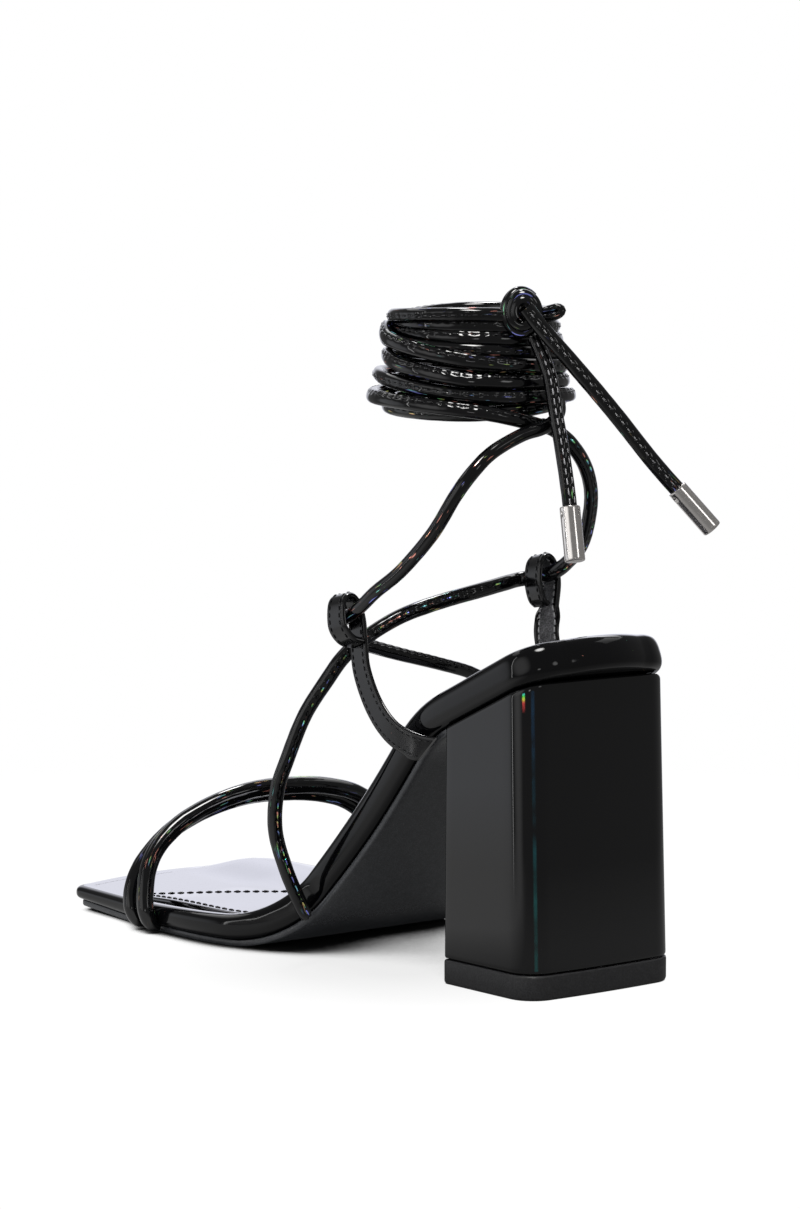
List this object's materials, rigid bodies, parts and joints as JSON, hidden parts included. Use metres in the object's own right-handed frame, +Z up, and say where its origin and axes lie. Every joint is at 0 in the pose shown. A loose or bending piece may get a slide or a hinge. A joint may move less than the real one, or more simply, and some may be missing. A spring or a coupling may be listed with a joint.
{
  "type": "lace-up block heel sandal",
  "caption": "High block heel sandal for the right foot: square toe, corded toe straps, crossed laces led through ankle loops, wound and tied at the ankle.",
  "frame": {"origin": "on the floor, under the middle of the sandal's length and width", "axes": "+Z up, the toe points to -Y, +X is the wearer's left, which is the inner side of this right shoe"},
  "size_m": [0.1008, 0.2213, 0.2012],
  "materials": {
    "footbed_patent": "black patent, high gloss, faint rainbow flecks",
    "outsole": "smooth black synthetic",
    "sock": "black patent sock, stitched edge",
    "heel_patent": "black patent wrap, high gloss",
    "top_lift": "matte dark rubber",
    "cord_patent": "black patent cord, folded and stitched, faint rainbow flecks",
    "strap_patent": "black patent outside, matte grey lining, stitched edges",
    "tip_metal": "polished nickel"
  },
  "bodies": {
    "root": {"footbed": "footbed_patent", "outsole": "outsole", "insole_sock": "sock", "heel_block": "heel_patent", "heel_top_lift": "top_lift", "toe_strap_front": "cord_patent", "toe_strap_rear": "cord_patent", "vamp_laces": "cord_patent", "ankle_strap_inner": "strap_patent", "ankle_strap_outer": "strap_patent", "ankle_wrap": "cord_patent", "lace_knot": "cord_patent", "lace_end_short": "cord_patent", "lace_end_long": "cord_patent", "lace_tip_short": "tip_metal", "lace_tip_long": "tip_metal"}
  },
  "joints": []
}
